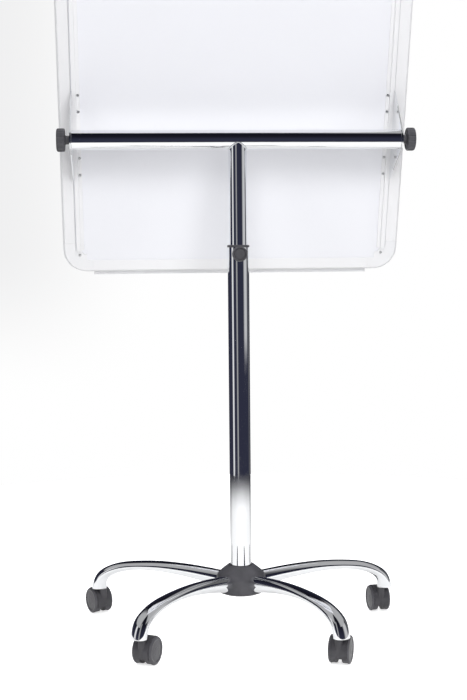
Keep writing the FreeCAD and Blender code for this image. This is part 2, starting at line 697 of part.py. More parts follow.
def clamp_base():
    """Fixed strip across the top of the writing side with a lug at each end for the hinge pin."""
    body = new_body("clamp_base", on_board)
    nose = HINGE_Y + " - lug_reach"
    sketch = polygon(new_sketch(body, "YZ", "-clamp_half"), [
        (FRONT, "hinge_z - 4"), (FRONT, "board_top - 8"), (FRONT + " - 4", "board_top - 8"),
        (nose, "board_top - 14"), (nose, "hinge_z + lug_reach"),
        (HINGE_Y + " + 4.5", "hinge_z + lug_reach"), (FRONT + " - 3", "hinge_z - 4")])
    pad(body, sketch, "clamp_half * 2")
    for x in ("-clamp_half", "clamp_half - lug_thick"):
        lug = rectangle(new_sketch(body, "YZ", x),
                        nose, "hinge_z - lug_reach", FRONT, "hinge_z + lug_reach + 1")
        pad(body, lug, "lug_thick")
    pin = circle(new_sketch(body, "YZ"), HINGE_Y, "hinge_z", "pin_rad")
    pocket(body, pin, "clamp_half * 2 + 2", midplane=True)
    return body


def clamp_pin():
    body = new_body("clamp_pin", on_board)
    pin = circle(new_sketch(body, "YZ"), HINGE_Y, "hinge_z", "pin_rad")
    pad(body, pin, "clamp_half * 2", midplane=True)
    return body


def clamp_springs():
    """Torsion springs on the hinge pin, one in each notch of the clamp bar."""
    body = new_body("clamp_springs", on_board)
    sketch = new_sketch(body, "YZ", "spring_x")
    circle(sketch, HINGE_Y, "hinge_z", "barrel_rad - spring_play")
    circle(sketch, HINGE_Y, "hinge_z", "pin_rad")
    mirror(body, [pad(body, sketch, "spring_long")], "YZ")
    return body


def clamp_bar():
    """Hinged bar that presses paper on the board, with a barrel on the pin and two hook slots."""
    body = new_body("clamp_bar", on_board)
    back_face = FRONT + " - clamp_gap"
    face = back_face + " - clamp_thick"
    half = "clamp_half - lug_thick - lug_play"
    sketch = polygon(new_sketch(body, "YZ", "-(%s)" % half), [
        (back_face, "clamp_low"), (back_face, "clamp_top"),
        (HINGE_Y + " + 2", "hinge_z"), (HINGE_Y + " - barrel_rad", "hinge_z"),
        (face, "clamp_top - clamp_flare"), (face, "clamp_low + clamp_flare * 1.5"),
        (face + " - clamp_flare", "clamp_low")])
    pad(body, sketch, "(%s) * 2" % half)
    barrel = circle(new_sketch(body, "YZ", "-(%s)" % half), HINGE_Y, "hinge_z", "barrel_rad")
    pad(body, barrel, "(%s) * 2" % half)
    bore = circle(new_sketch(body, "YZ"), HINGE_Y, "hinge_z", "pin_rad + run_gap")
    pocket(body, bore, "clamp_half * 2", midplane=True)
    room = "(barrel_rad + 1)"
    for sign in SIDES.values():
        start = "spring_x - spring_play" if sign > 0 else "-spring_x - spring_long - spring_play"
        notch = rectangle(new_sketch(body, "YZ", start), HINGE_Y + " - " + room, "hinge_z - " + room,
                          HINGE_Y + " + " + room, "hinge_z + " + room)
        pocket(body, notch, "spring_long + spring_play * 2", reverse=True)
        slot = rectangle(new_sketch(body, "XZ", "-(%s) - hook_sink" % face),
                         "%d * hook_x - hook_slot - hook_foot" % sign, "hook_z - hook_rad - hook_play",
                         "%d * hook_x + hook_slot + hook_foot" % sign, "hook_z + hook_rad + hook_play")
        pocket(body, slot, "hook_long", reverse=True)
    return body


def pad_hook(side, sign):
    """Sliding peg for a punched pad: a foot in the slot, a washer face and a straight peg."""
    body = new_body("pad_hook_" + side, on_board)
    face = "board_back + board_deep + clamp_gap + clamp_thick"
    middle = "%d * hook_x" % sign
    foot = rectangle(new_sketch(body, "XZ", face + " - hook_sink + hook_play"),
                     middle + " - hook_foot + 1", "hook_z - hook_rad",
                     middle + " + hook_foot - 1", "hook_z + hook_rad")
    pad(body, foot, "hook_sink + hook_play")
    disc = circle(new_sketch(body, "XZ", face + " + hook_lift"),
                  middle, "hook_z", "hook_rad + hook_washer_rim")
    pad(body, disc, "hook_washer")
    peg = circle(new_sketch(body, "XZ", face + " + hook_lift"), middle, "hook_z", "hook_rad")
    pad(body, peg, "hook_long")
    return body


# ---- casters ----------------------------------------------------------------------------------

def caster_hood(k):
    """Moulded fender with a central web, a boss for the stem and a bore for the axle."""
    body = new_body("caster_%d_hood" % (k + 1), on_caster(k))
    disc = circle(new_sketch(body, "XZ"), "trail", "wheel_rad", "fender_rad")
    pad(body, disc, "fender_half * 2", midplane=True)
    nose = rectangle(new_sketch(body, "XZ"),
                     "trail - fender_rad + nose_bevel", "hood_low", "trail", "nose_high")
    pad(body, nose, "web_half * 2", midplane=True)
    boss = circle(new_sketch(body, "XY", "hood_low + hood_boss_lift"), "0", "0", "hood_boss_rad")
    pad(body, boss, "hood_top - hood_low - hood_boss_lift")
    for start in ("web_half", "-fender_half - 1"):
        drum = circle(new_sketch(body, "XZ", start), "trail", "wheel_rad", "fender_in_rad")
        pocket(body, drum, "fender_half + 1 - web_half", reverse=True)
    before, behind, below = "-fender_rad", "trail + fender_rad * 2", "wheel_rad - fender_rad - 1"
    under = polygon(new_sketch(body, "XZ"), [
        (before, below), (behind, below), (behind, "wheel_rad + 4"), ("trail + 12", "wheel_rad + 4"),
        ("trail + 9", "hood_low"), (before, "hood_low")])
    pocket(body, under, "fender_rad * 2", midplane=True)
    bore = circle(new_sketch(body, "XY", "stem_low - stem_play"), "0", "0", "stem_rad + run_gap")
    pocket(body, bore, "hood_top", reverse=True)
    axle = circle(new_sketch(body, "XZ"), "trail", "wheel_rad", "axle_rad")
    pocket(body, axle, "fender_half * 4", midplane=True)
    return body


def caster_axle(k):
    body = new_body("caster_%d_axle" % (k + 1), on_caster(k))
    pin = circle(new_sketch(body, "XZ"), "trail", "wheel_rad", "axle_rad")
    pad(body, pin, "axle_half * 2", midplane=True)
    return body


def on_axle(k, sign):
    """Frame of one wheel: z runs outwards along the axle from the middle of the caster."""
    angle = "(%s + base_turn)" % leg_angle(k)
    heading = "caster_turn_%d" % (k + 1)

    def place(body):
        turn = FreeCAD.Rotation(V(0, 0, 1), size(heading))
        spin = turn.multiply(FreeCAD.Rotation(V(1, 0, 0), -90 * sign))
        body.Placement = FreeCAD.Placement(V(0, 0, 0), spin)
        body.setExpression("Placement.Base.x",
                           expr("stem_circle * cos(%s) + trail * cos(%s)" % (angle, heading)))
        body.setExpression("Placement.Base.y",
                           expr("stem_circle * sin(%s) + trail * sin(%s)" % (angle, heading)))
        body.setExpression("Placement.Base.z", expr("wheel_rad"))
    return place


def caster_wheel(k, side, sign):
    """Stepped wheel: a drum under the fender, a full-size tread outside it and a domed, closed face."""
    body = turned("caster_%d_wheel_%s" % (k + 1, side), [
        ("axle_rad + run_gap", "wheel_in"), ("drum_rad", "wheel_in"), ("drum_rad", "wheel_step"),
        ("wheel_rad - tread_bevel", "wheel_step"), ("wheel_rad", "wheel_step + tread_bevel"),
        ("wheel_rad", "wheel_out - face_bevel * 2"), ("wheel_rad - face_bevel", "wheel_out - face_bevel"),
        ("wheel_rad - face_rim", "wheel_out"), ("wheel_rad - face_rim - 3", "wheel_out"),
        ("wheel_rad - face_rim * 2", "wheel_out - face_sink"), ("0", "wheel_out - face_sink / 2"),
        ("0", "axle_half + axle_end_play"), ("axle_rad + run_gap", "axle_half + axle_end_play")],
        on_axle(k, sign))
    return body


def board_nodes():
    back, front = "board_back + rim_flange", "board_back + board_deep - rim_flange"
    nodes = [slab("writing_sheet", front + " - skin", front, "face_inset", False),
             slab("core_board", back + " + skin", front + " - skin", "sheet_inset", True),
             slab("back_sheet", back, back + " + skin", "sheet_inset", True)]
    nodes += [frame_profiles(), corner_caps(), board_screws(), pen_tray()]
    nodes += [clamp_base(), clamp_pin(), clamp_springs(), clamp_bar()]
    for side, sign in SIDES.items():
        nodes += [rail(side, sign), bracket(side, sign), pad_hook(side, sign)]
    return nodes


def all_nodes():
    outer, inner = leg_shell(0), leg_shell(size("leg_wall"))
    nodes = [hub_core(), hub_cover(), hub_base_plate()]
    nodes += [leg(k, outer, inner) for k in range(LEGS)]
    nodes += [caster_sockets(), caster_stems(), lower_post(), post_collar(), clamp_boss()]
    nodes += [clamp_knob(), clamp_stud(), glide_ring(), upper_post(), crossbar(), crossbar_plugs()]
    for side, sign in SIDES.items():
        nodes += [tilt_knob(side, sign), tilt_stud(side, sign)]
    nodes += board_nodes()
    for k in range(LEGS):
        nodes += [caster_hood(k), caster_axle(k)]
        nodes += [caster_wheel(k, side, sign) for side, sign in SIDES.items()]
    return nodes


def check_and_export(nodes):
    doc.recompute()
    for item in doc.Objects:
        if "Invalid" in item.State or "Error" in item.State:
            raise RuntimeError("failed feature: " + item.Name + " in " + item.FullName)
    for node in nodes:
        if node.Shape.isNull() or not node.Shape.isValid():
            raise RuntimeError("bad shape: " + node.Label)
    os.makedirs("parts", exist_ok=True)
    for node in nodes:
        node.Shape.exportStep("parts/%s.step" % node.Label)
        box = node.Shape.BoundBox
        print("%-24s %9.0f mm3  x %7.1f %7.1f  y %7.1f %7.1f  z %7.1f %7.1f  solids %d" % (
            node.Label, node.Shape.Volume, box.XMin, box.XMax, box.YMin, box.YMax, box.ZMin, box.ZMax,
            len(node.Shape.Solids)))
    print(len(nodes), "nodes")


check_and_export(all_nodes())
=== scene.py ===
"""Looks of the mobile flipchart easel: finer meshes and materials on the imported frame, light, camera."""
import json
import math

import bmesh
import bpy
from mathutils import Matrix, Vector

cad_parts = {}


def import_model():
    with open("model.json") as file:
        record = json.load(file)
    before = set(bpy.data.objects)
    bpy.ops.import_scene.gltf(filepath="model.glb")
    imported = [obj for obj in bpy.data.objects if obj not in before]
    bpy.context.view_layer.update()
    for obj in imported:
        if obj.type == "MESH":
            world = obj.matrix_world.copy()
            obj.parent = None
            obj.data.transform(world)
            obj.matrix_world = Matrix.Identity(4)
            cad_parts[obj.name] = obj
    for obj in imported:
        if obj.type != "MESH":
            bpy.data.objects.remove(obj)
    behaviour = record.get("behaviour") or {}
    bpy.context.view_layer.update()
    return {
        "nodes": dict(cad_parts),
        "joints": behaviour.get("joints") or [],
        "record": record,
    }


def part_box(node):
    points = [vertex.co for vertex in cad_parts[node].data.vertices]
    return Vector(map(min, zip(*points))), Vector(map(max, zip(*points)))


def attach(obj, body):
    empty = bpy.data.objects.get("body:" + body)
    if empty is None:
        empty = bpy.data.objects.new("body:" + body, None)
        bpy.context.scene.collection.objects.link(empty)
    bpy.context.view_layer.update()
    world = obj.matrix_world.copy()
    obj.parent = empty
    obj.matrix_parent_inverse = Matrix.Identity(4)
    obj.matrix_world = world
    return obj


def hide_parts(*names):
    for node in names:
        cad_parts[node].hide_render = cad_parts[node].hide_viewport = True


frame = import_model()

NODES = frame["nodes"]
RECORD = frame["record"]
JOINTS = {joint["name"]: joint for joint in frame["joints"]}
MOUNTS = {mount["name"]: mount for mount in RECORD["mounts"]}
MM = 0.001
SIDES = {"left": 1, "right": -1}
POST_RADIUS, TUBE_WALL = 21 * MM, 2 * MM

PIVOT_Z = JOINTS["board_tilt"]["pos_m"][2]
FACE_AXIS = MOUNTS["writing_face"]["axis"]
LEAN = math.atan2(FACE_AXIS[2], -FACE_AXIS[1])
BOARD = Matrix.Translation((0, 0, PIVOT_Z)) @ Matrix.Rotation(-LEAN, 4, "X")


def angles(count):
    """Evenly spaced angles of a full turn."""
    return [2 * math.pi * j / count for j in range(count)]


# ---- materials --------------------------------------------------------------------------------

class NodeMaker:
    """Short forms for building a node tree."""

    def __init__(self, tree):
        self.tree = tree

    def add(self, kind, inputs=None, **settings):
        made = self.tree.nodes.new(kind)
        for key, value in settings.items():
            setattr(made, key, value)
        for name, value in (inputs or {}).items():
            made.inputs[name].default_value = value
        return made

    def link(self, source, target):
        self.tree.links.new(source, target)

    def ramp(self, source, low, high, first, second, blend="SMOOTHSTEP"):
        """Value that goes from first to second while the source goes from low to high."""
        ends = {"From Min": low, "From Max": high, "To Min": first, "To Max": second}
        made = self.add("ShaderNodeMapRange", ends, interpolation_type=blend)
        self.link(source, made.inputs["Value"])
        return made.outputs["Result"]

    def mix(self, factor, first, second):
        """Colour between two others, each a tuple or a socket."""
        made = self.add("ShaderNodeMix", data_type="RGBA")
        self.link(factor, made.inputs[0])
        for socket, value in ((made.inputs[6], first), (made.inputs[7], second)):
            if isinstance(value, tuple):
                socket.default_value = (*value, 1)
            else:
                self.link(value, socket)
        return made.outputs[2]

    def times(self, first, second):
        made = self.add("ShaderNodeMath", operation="MULTIPLY")
        self.link(first, made.inputs[0])
        self.link(second, made.inputs[1])
        return made.outputs[0]


def shader_of(material):
    return material.node_tree.nodes["Principled BSDF"]


def new_material(name, colour, metallic=0.0, roughness=0.5, specular=0.5, coat=0.0):
    """Principled material; every plain number sits on the shader's own socket."""
    material = bpy.data.materials.new(name)
    material.use_nodes = True
    for name, value in {"Base Color": (*colour, 1), "Metallic": metallic, "Roughness": roughness,
                        "Specular IOR Level": specular, "Coat Weight": coat}.items():
        shader_of(material).inputs[name].default_value = value
    return material


def add_noise(material, scale, detail=3.0, stretch=(1, 1, 1)):
    """Noise over the object's own coordinates, optionally stretched."""
    nodes = NodeMaker(material.node_tree)
    mapping = nodes.add("ShaderNodeMapping", {"Scale": stretch})
    noise = nodes.add("ShaderNodeTexNoise", {"Scale": scale, "Detail": detail})
    nodes.link(nodes.add("ShaderNodeTexCoord").outputs["Object"], mapping.inputs["Vector"])
    nodes.link(mapping.outputs["Vector"], noise.inputs["Vector"])
    return noise.outputs["Fac"]


def vary_roughness(material, source, low, high):
    """Roughness that follows the middle of a noise's range."""
    nodes = NodeMaker(material.node_tree)
    nodes.link(nodes.ramp(source, 0.3, 0.7, low, high, "LINEAR"), shader_of(material).inputs["Roughness"])


def vary_colour(material, source, first, second):
    """Base colour that drifts between two near colours."""
    nodes = NodeMaker(material.node_tree)
    ramp = nodes.add("ShaderNodeValToRGB")
    for stop, place, colour in zip(ramp.color_ramp.elements, (0.35, 0.65), (first, second)):
        stop.position = place
        stop.color = (*colour, 1)
    nodes.link(source, ramp.inputs["Fac"])
    nodes.link(ramp.outputs["Color"], shader_of(material).inputs["Base Color"])


def add_bump(material, source, strength, distance):
    nodes = NodeMaker(material.node_tree)
    bump = nodes.add("ShaderNodeBump", {"Strength": strength, "Distance": distance})
    nodes.link(source, bump.inputs["Height"])
    nodes.link(bump.outputs["Normal"], shader_of(material).inputs["Normal"])


def chrome():
    """Polished chrome on drawn tube: a faint draw waviness and slight haze."""
    material = new_material("chrome", (0.86, 0.87, 0.89), metallic=1.0, roughness=0.05)
    vary_roughness(material, add_noise(material, 60, 4), 0.03, 0.075)
    add_bump(material, add_noise(material, 14, 1, (1, 1, 0.12)), 0.06, 0.0012)
    return material


def zinc_steel():
    material = new_material("zinc_steel", (0.63, 0.63, 0.64), metallic=1.0, roughness=0.3)
    vary_roughness(material, add_noise(material, 400, 3), 0.22, 0.4)
    add_bump(material, add_noise(material, 1500, 2), 0.08, 0.0002)
    return material


def black_plastic(name, colour, roughness):
    """Moulded plastic with a fine spark-eroded grain."""
    material = new_material(name, colour, roughness=roughness, specular=0.45)
    lighter = tuple(value * 1.35 for value in colour)
    vary_colour(material, add_noise(material, 35, 2), colour, lighter)
    vary_roughness(material, add_noise(material, 500, 3), roughness - 0.06, roughness + 0.08)
    add_bump(material, add_noise(material, 2600, 2), 0.12, 0.00012)
    return material


def powder_coat(name, colour):
    """White powder coat with the slight orange peel of the baked film."""
    material = new_material(name, colour, roughness=0.34, specular=0.5)
    vary_colour(material, add_noise(material, 3, 2), colour, tuple(v * 0.985 for v in colour))
    vary_roughness(material, add_noise(material, 120, 2), 0.3, 0.4)
    add_bump(material, add_noise(material, 900, 2), 0.05, 0.0002)
    return material


def white_plastic():
    material = new_material("white_plastic", (0.84, 0.84, 0.85), roughness=0.42, specular=0.4)
    vary_colour(material, add_noise(material, 8, 2), (0.84, 0.84, 0.85), (0.81, 0.815, 0.83))
    vary_roughness(material, add_noise(material, 300, 3), 0.36, 0.5)
    add_bump(material, add_noise(material, 2200, 2), 0.08, 0.0001)
    return material


def writing_enamel():
    """Glossy writing lacquer with the faint haze that dry wiping leaves."""
    material = new_material("writing_enamel", (0.86, 0.87, 0.88), roughness=0.14, coat=0.3)
    vary_colour(material, add_noise(material, 2.5, 3), (0.86, 0.87, 0.88), (0.835, 0.845, 0.86))
    vary_roughness(material, add_noise(material, 6, 4, (1, 1, 3)), 0.08, 0.22)
    add_bump(material, add_noise(material, 500, 1), 0.02, 0.0002)
    return material


def core_board():
    material = new_material("core_board", (0.5, 0.38, 0.25), roughness=0.8)
    vary_colour(material, add_noise(material, 500, 4, (1, 3, 1)), (0.42, 0.31, 0.2), (0.58, 0.45, 0.31))
    add_bump(material, add_noise(material, 700, 4), 0.5, 0.0005)
    return material


def satin_aluminium():
    """Anodised profile brushed along its length."""
    material = new_material("satin_aluminium", (0.72, 0.73, 0.75), metallic=1.0, roughness=0.32)
    vary_roughness(material, add_noise(material, 900, 3, (0.02, 1, 1)), 0.24, 0.42)
    add_bump(material, add_noise(material, 1800, 2, (0.01, 1, 1)), 0.08, 0.0001)
    return material


def nylon():
    material = new_material("nylon", (0.72, 0.71, 0.67), roughness=0.5, specular=0.4)
    vary_colour(material, add_noise(material, 80, 2), (0.72, 0.71, 0.67), (0.66, 0.65, 0.6))
    add_bump(material, add_noise(material, 1200, 2), 0.1, 0.0001)
    return material


MATERIALS = {
    "chrome": chrome(),
    "zinc_steel": zinc_steel(),
    "black_plastic": black_plastic("black_plastic", (0.056, 0.055, 0.062), 0.42),
    "wheel_plastic": black_plastic("wheel_plastic", (0.058, 0.057, 0.064), 0.36),
    "nylon": nylon(),
    "white_profile": powder_coat("white_profile", (0.85, 0.85, 0.86)),
    "white_plastic": white_plastic(),
    "back_sheet": powder_coat("back_sheet", (0.84, 0.845, 0.88)),
    "writing_enamel": writing_enamel(),
    "core_board": core_board(),
    "silver_profile": satin_aluminium(),
}
# The casters' hoods share the black_plastic slot; their plastic is darker than the knobs' as painted shade,
# standing in for the occlusion round the wheels.
HOOD_PLASTIC_PAINTED_SHADE = black_plastic("hood_plastic_painted_shade", (0.04, 0.039, 0.044), 0.4)
SLOT_OF = {part["node"]: part["material_slot"] for part in RECORD["subparts"]}
BODY_OF = {node: body for body, nodes in RECORD["behaviour"]["bodies"].items() for node in nodes}


# ---- mesh tools -------------------------------------------------------------------------------

def piece(name, vertices, faces, nodes, matrix=None, sharp=35, slot=None):
    """Mesh object that stands for CAD nodes and rides on their body."""
    mesh = bpy.data.meshes.new(name)
    mesh.from_pydata([tuple(v) for v in vertices], [], faces)
    if matrix:
        mesh.transform(matrix)
    clean = bmesh.new()
    clean.from_mesh(mesh)
    bmesh.ops.remove_doubles(clean, verts=clean.verts, dist=1e-6)
    bmesh.ops.recalc_face_normals(clean, faces=clean.faces)
    clean.to_mesh(mesh)
    clean.free()
    mesh.shade_smooth()
    mesh.set_sharp_from_angle(angle=math.radians(sharp))
    body = bpy.data.objects.new(name, mesh)
    body.modifiers.new("shading", "WEIGHTED_NORMAL").keep_sharp = True
    bpy.context.scene.collection.objects.link(body)
    slot = slot or SLOT_OF[nodes[0]]
    mesh.materials.append(MATERIALS[slot])
    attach(body, BODY_OF[nodes[0]])
    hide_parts(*nodes)
    return body


def bridge(rings, close_length=False):
    """Faces between successive rings of equal count; each ring is closed on itself."""
    count = len(rings[0])
    total = len(rings)
    faces = []
    for i in range(total if close_length else total - 1):
        a, b = i * count, (i + 1) % total * count
        for j in range(count):
            k = (j + 1) % count
            faces.append((a + j, a + k, b + k, b + j))
    return [point for ring in rings for point in ring], faces


def rounded(outline, radius, steps=3):
    """Outline with each corner of an open polyline replaced by a short curve."""
    points = [Vector(p) for p in outline]
    result = [points[0]]
    for before, corner, after in zip(points, points[1:], points[2:]):
        reach = min(radius, (before - corner).length * 0.45, (after - corner).length * 0.45)
        start = corner + (before - corner).normalized() * reach
        end = corner + (after - corner).normalized() * reach
        for step in range(steps + 1):
            t = step / steps
            result.append(start * (1 - t) ** 2 + corner * 2 * t * (1 - t) + end * t ** 2)
    result.append(points[-1])
    return result


def lathe(outline, segments=96, ripple=None):
    """Rings about Z from (radius, height) pairs; ripple(angle, radius, height) may change a radius."""
    rings = []
    for radius, height in outline:
        ring = []
        for angle in angles(segments):
            r = ripple(angle, radius, height) if ripple else radius
            ring.append(Vector((r * math.cos(angle), r * math.sin(angle), height)))
        rings.append(ring)
    return rings


def turned(name, outline, nodes, matrix=None, segments=96, ripple=None, edge=0.0006, closed=False, **options):
    """Lathed piece; a closed outline is a ring section, an open one runs from axis to axis."""
    path = outline + outline[:1] if closed else outline
    on_axis = 1e-6
    rings = lathe([(max(p[0], on_axis), p[1]) for p in rounded(path, edge)], segments, ripple)
    vertices, faces = bridge(rings)
    return piece(name, vertices, faces, nodes, matrix, **options)


def sweep(path, radius, segments=12, closed=False):
    """Rings of a round rod along a list of points; radius is a number or a function of the index."""
    rings = []
    count = len(path)
    for i, point in enumerate(path):
        before = path[(i - 1) % count] if closed or i else point
        after = path[(i + 1) % count] if closed or i < count - 1 else point
        along = (after - before).normalized()
        side = along.orthogonal() if abs(along.z) > 0.9 else along.cross(Vector((0, 0, 1)))
        side.normalize()
        up = side.cross(along)
        r = radius(i) if callable(radius) else radius
        rings.append([point + (side * math.cos(a) + up * math.sin(a)) * r for a in angles(segments)])
    return rings


def x_axis_frame(origin, outward):
    """Matrix whose Z runs along +X or -X from a point."""
    return Matrix.Translation(origin) @ Matrix.Rotation(math.radians(90) * outward, 4, "Y")


def soften(node, width, angle=32, segments=2):
    """Rounded edges on a CAD node, without touching its mesh."""
    shape = NODES[node]
    weld = shape.modifiers.new("weld", "WELD")
    weld.merge_threshold = 1e-5
    merge = shape.modifiers.new("flat_faces", "DECIMATE")
    merge.decimate_type = "DISSOLVE"
    merge.angle_limit = math.radians(0.6)
    bevel = shape.modifiers.new("edges", "BEVEL")
    bevel.width = width
    bevel.segments = segments
    bevel.limit_method = "ANGLE"
    bevel.angle_limit = math.radians(angle)
    bevel.harden_normals = False
    shape.modifiers.new("shading", "WEIGHTED_NORMAL").keep_sharp = False


def finish_nodes():
    """Material, chosen by its slot, on every CAD node, whether it shows or is replaced."""
    for name, shape in NODES.items():
        shape.data.materials.clear()
        # The hoods get the darker copy of the black plastic, which paints in their shade.
        shape.data.materials.append(HOOD_PLASTIC_PAINTED_SHADE if name.endswith("_hood") else MATERIALS[SLOT_OF[name]])


# ---- base -------------------------------------------------------------------------------------

# Ovals along a leg in mm and degrees: distance from the post, height, slope, depth, width.
LEG_SECTIONS = (
    (24, 92.5, 9, 34, 27), (70, 100, 8.5, 30.5, 28), (120, 106.5, 6, 26, 29), (172, 110, 1, 21.5, 30.5),
    (222, 108.5, -7, 18.5, 32), (260, 102.5, -15, 19.5, 33), (288, 92, -32, 21.5, 33.5),
    (304.5, 79, -54, 24.5, 33.5), (312, 62, -76, 26.5, 33.5), (314, 46, -86, 27, 33.5),
)
LEG_END_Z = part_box("caster_sockets")[0].z
LEG_WALL = 1.8 * MM
LEG_START = 33 * MM
LEG_LINING_RINGS = 24  # as far up the inside as can be seen from the open end
SOCKET_BORE = 5 * MM


def catmull(p0, p1, p2, p3, t):
    """Point of a Catmull-Rom curve between p1 and p2, for tuples of any length."""
    return tuple(0.5 * (2 * b + (c - a) * t + (2 * a - 5 * b + 4 * c - d) * t ** 2
                        + (3 * b - a - 3 * c + d) * t ** 3) for a, b, c, d in zip(p0, p1, p2, p3))


def leg_rings(inset, around=72, between=7):
    """Oval rings along the leg, cut level over the caster, in the leg's own frame."""
    stations = [LEG_SECTIONS[0], *LEG_SECTIONS, LEG_SECTIONS[-1]]
    rings = []
    for window in zip(stations, stations[1:], stations[2:], stations[3:]):
        for step in range(between):
            reach, height, slope, deep, wide = catmull(*window, step / between)
            tilt = math.radians(slope)
            upright = Vector((-math.sin(tilt), 0, math.cos(tilt))) * (deep / 2 * MM - inset)
            across = Vector((0, 1, 0)) * (wide / 2 * MM - inset)
            centre = Vector((reach, 0, height)) * MM
            rings.append([centre + upright * math.sin(a) + across * math.cos(a) for a in angles(around)])
    columns = [cut_column([ring[j] for ring in rings]) for j in range(around)]
    return [[column[i] for column in columns] for i in range(len(columns[0]))]


def cut_column(points, count=72):
    """One line of the leg's surface from its start radius to the level cut, evenly spaced."""
    kept = [p for p in points if p.x >= LEG_START and p.z >= LEG_END_Z]
    last = points.index(kept[-1])
    above, below = points[last], points[last + 1]
    kept.append(above.lerp(below, (above.z - LEG_END_Z) / (above.z - below.z)))
    lengths = [0.0]
    for a, b in zip(kept, kept[1:]):
        lengths.append(lengths[-1] + (b - a).length)
    result = []
    segment = 0
    for i in range(count):
        target = lengths[-1] * i / (count - 1)
        while segment < len(kept) - 2 and lengths[segment + 1] < target:
            segment += 1
        span = lengths[segment + 1] - lengths[segment]
        result.append(kept[segment].lerp(kept[segment + 1], (target - lengths[segment]) / span))
    return result


def leg(number, matrix):
    """Hollow chrome leg with a rounded rim at its open end."""
    outer = leg_rings(0)
    inner = leg_rings(LEG_WALL)
    rounding = Vector((0, 0, 0.4 * MM))
    rim = [[a.lerp(b, 0.5) - rounding for a, b in zip(outer[-1], inner[-1])]]
    vertices, faces = bridge(outer + rim + inner[::-1][:LEG_LINING_RINGS])
    return piece("leg_%d" % number, vertices, faces, ["leg_%d" % number], matrix, sharp=60)


def hub():
    """Moulded cone over the leg roots and the dished plate below them."""
    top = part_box("hub_cover")[1].z
    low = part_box("hub_cover")[0].z
    post = POST_RADIUS
    outline = [(post + 0.0002, top - 0.003), (post + 0.0006, top), (post + 0.0045, top - 0.0002),
               (0.0335, top - 0.0065), (0.0415, top - 0.013), (0.0475, top - 0.0195),
               (0.0492, top - 0.0245), (0.0484, top - 0.034), (0.0482, low + 0.008), (0.049, low)]
    inner = [(0.0455, low), (0.0455, top - 0.024), (0.024, top - 0.005), (post + 0.0002, top - 0.005)]
    turned("hub_cover_cone", outline + inner, ["hub_cover"], edge=0.003, closed=True, sharp=50)
    plate_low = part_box("hub_base_plate")[0].z
    dish = [(0, plate_low + 0.0006), (0.012, plate_low + 0.0006), (0.0135, plate_low), (0.039, plate_low),
            (0.0468, low - 0.0022), (0.0488, low - 0.0004), (0.0488, low), (0, low)]
    turned("hub_base_dish", dish, ["hub_base_plate"], edge=0.0012)


def sockets_and_stems(matrices):
    """Plated sleeves in the legs' ends, and the casters' stems with their flanges."""
    sleeve, foot = 0.008, LEG_END_Z + 0.0006
    sleeve_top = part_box("caster_sockets")[1].z
    stem_low, stem_top = 0.024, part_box("caster_stems")[1].z
    flange, flange_low = 0.0072, LEG_END_Z - 0.0016
    socket = [(SOCKET_BORE, LEG_END_Z + 0.0002), (sleeve - 0.0004, LEG_END_Z), (sleeve, foot),
              (sleeve, sleeve_top), (SOCKET_BORE, sleeve_top)]
    stem = [(0, stem_low), (SOCKET_BORE, stem_low + 0.0005), (SOCKET_BORE, flange_low), (flange, flange_low),
            (flange, LEG_END_Z), (SOCKET_BORE, LEG_END_Z), (SOCKET_BORE, stem_top), (0, stem_top)]
    for number, matrix in enumerate(matrices, start=1):
        turned("socket_%d" % number, socket, ["caster_sockets"], matrix, segments=48, closed=True,
               slot="chrome")
        turned("stem_%d" % number, stem, ["caster_stems"], matrix, segments=48, edge=0.0003)


def base():
    stems = [Vector(JOINTS["caster_%d_swivel" % k]["pos_m"]) for k in range(1, 6)]
    for number, stem in enumerate(stems, start=1):
        leg(number, Matrix.Rotation(math.atan2(stem.y, stem.x), 4, "Z"))
    hub()
    sockets_and_stems([Matrix.Translation((stem.x, stem.y, 0)) for stem in stems])


# ---- casters ----------------------------------------------------------------------------------

def wheel(number, side, sign):
    """Wheel with a rounded tread, a raised rim and a domed face with a centre cap."""
    joint = JOINTS["caster_%d_%s_spin" % (number, side)]
    centre, axis = Vector(joint["pos_m"]), Vector(joint["axis"])
    r = centre.z
    to_middle = 0.013
    matrix = (Matrix.Translation(centre - axis * sign * to_middle)
              @ (axis * sign).to_track_quat("Z", "Y").to_matrix().to_4x4())
    bore, drum, near, step = 0.00305, 0.0251, 0.0054, 0.015
    outline = [(bore, near), (drum, near), (drum, step), (r - 0.0004, step), (r, step + 0.0005),
               (r, 0.0171), (r - 0.0006, 0.0184), (r - 0.0019, 0.0195), (r - 0.0036, 0.02),
               (r - 0.0052, 0.0198), (r - 0.0062, 0.019), (r - 0.0072, 0.0186), (0.0125, 0.01925),
               (0.0085, 0.0195), (0.0081, 0.0192), (0.0075, 0.0192), (0.0071, 0.0196), (0, 0.0198)]
    turned("caster_%d_wheel_%s_body" % (number, side), outline, ["caster_%d_wheel_%s" % (number, side)],
           matrix, edge=0.0005, sharp=45)


def casters():
    for number in range(1, 6):
        soften("caster_%d_hood" % number, 0.0007)
        for side, sign in SIDES.items():
            wheel(number, side, sign)


# ---- post and head ----------------------------------------------------------------------------

def tube_outline(radius, wall, low, high):
    return [(radius - wall, low), (radius, low), (radius, high), (radius - wall, high)]


def weld_bead(name, path, node, radius=0.0013):
    """Rippled bead of a plated weld along a closed path."""
    vertices, faces = bridge(sweep(path, lambda i: radius * (1 + 0.16 * math.sin(i * 1.9)), closed=True),
                             close_length=True)
    return piece(name, vertices, faces, [node], sharp=80)


